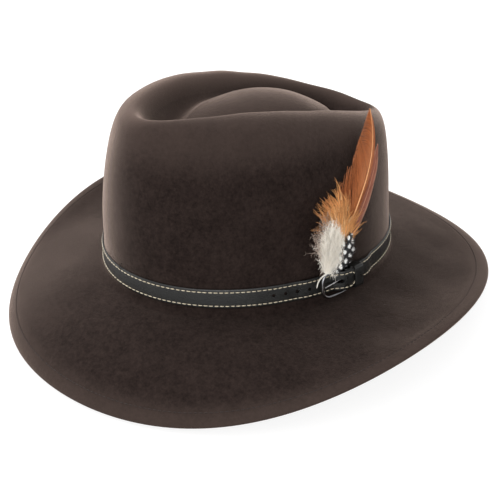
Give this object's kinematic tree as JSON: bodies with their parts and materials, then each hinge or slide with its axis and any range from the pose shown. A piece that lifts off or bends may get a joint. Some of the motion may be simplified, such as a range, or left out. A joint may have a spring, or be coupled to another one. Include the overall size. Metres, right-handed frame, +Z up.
{
  "type": "fedora hat",
  "caption": "Wide-brimmed felt hat with a teardrop crown, a stitched leather belt with a buckle for a hat band, and a bunch of feathers tucked behind it.",
  "frame": {"origin": "centre of the bounding box's base, on the surface the hat stands on", "axes": "-Y is the hat's front, +X the wearer's left, where the buckle and feathers are, +Z up"},
  "size_m": [0.324, 0.3322, 0.1444],
  "materials": {
    "felt": "dark brown wool felt with a short matt nap",
    "strap_leather": "black smooth leather, satin",
    "sweatband_leather": "brown smooth leather, satin",
    "cream_thread": "cream waxed thread",
    "brown_thread": "dark brown thread",
    "ribbon": "dark brown satin ribbon",
    "gunmetal": "black nickel plate, satin",
    "steel_wire": "bare steel wire",
    "feather_orange": "orange-brown feather, slightly glossy",
    "feather_brown": "pinkish brown feather",
    "feather_gold": "golden hackle barbs",
    "feather_cream": "cream down, matt",
    "feather_spotted": "black feather with white dots",
    "feather_thread": "brown binding thread",
    "quill": "white quill, satin"
  },
  "bodies": {
    "hat": {"felt_body": "felt", "brim_wire": "steel_wire", "brim_edge_stitching": "brown_thread", "sweatband": "sweatband_leather", "sweatband_reed": "sweatband_leather", "sweatband_stitching": "brown_thread", "sweatband_bow": "ribbon", "size_tab": "ribbon", "hat_band_strap": "strap_leather", "strap_stitching_upper": "cream_thread", "strap_stitching_lower": "cream_thread", "band_tack_1": "brown_thread", "band_tack_2": "brown_thread", "band_tack_3": "brown_thread"},
    "feather_mount": {"feather_large": "feather_orange", "feather_rear": "feather_brown", "feather_hackle": "feather_gold", "marabou_plume": "feather_cream", "guinea_feather": "feather_spotted", "feather_stem": "feather_thread", "marabou_quill": "quill"},
    "buckle": {"buckle_frame": "gunmetal"},
    "prong": {"buckle_prong": "gunmetal"},
    "keeper": {"keeper_loop": "strap_leather"}
  },
  "joints": [
    {"name": "feather_pull", "type": "slide", "parent": "hat", "child": "feather_mount", "axis": [-0.1216, 0.0786, 0.9895], "range_m": [0, 0.05]},
    {"name": "buckle_swing", "type": "hinge", "parent": "hat", "child": "buckle", "pos_m": [0.08916, 0.00907, 0.03802], "axis": [-0.1299, 0.0752, 0.9887], "range_deg": [-0.5, 5]},
    {"name": "prong_swing", "type": "hinge", "parent": "buckle", "child": "prong", "pos_m": [0.08916, 0.00907, 0.03802], "axis": [-0.1299, 0.0752, 0.9887], "range_deg": [0, 5]},
    {"name": "keeper_slide", "type": "slide", "parent": "hat", "child": "keeper", "axis": [-0.0827, 0.993, -0.0847], "range_m": [0, 0.004]}
  ]
}
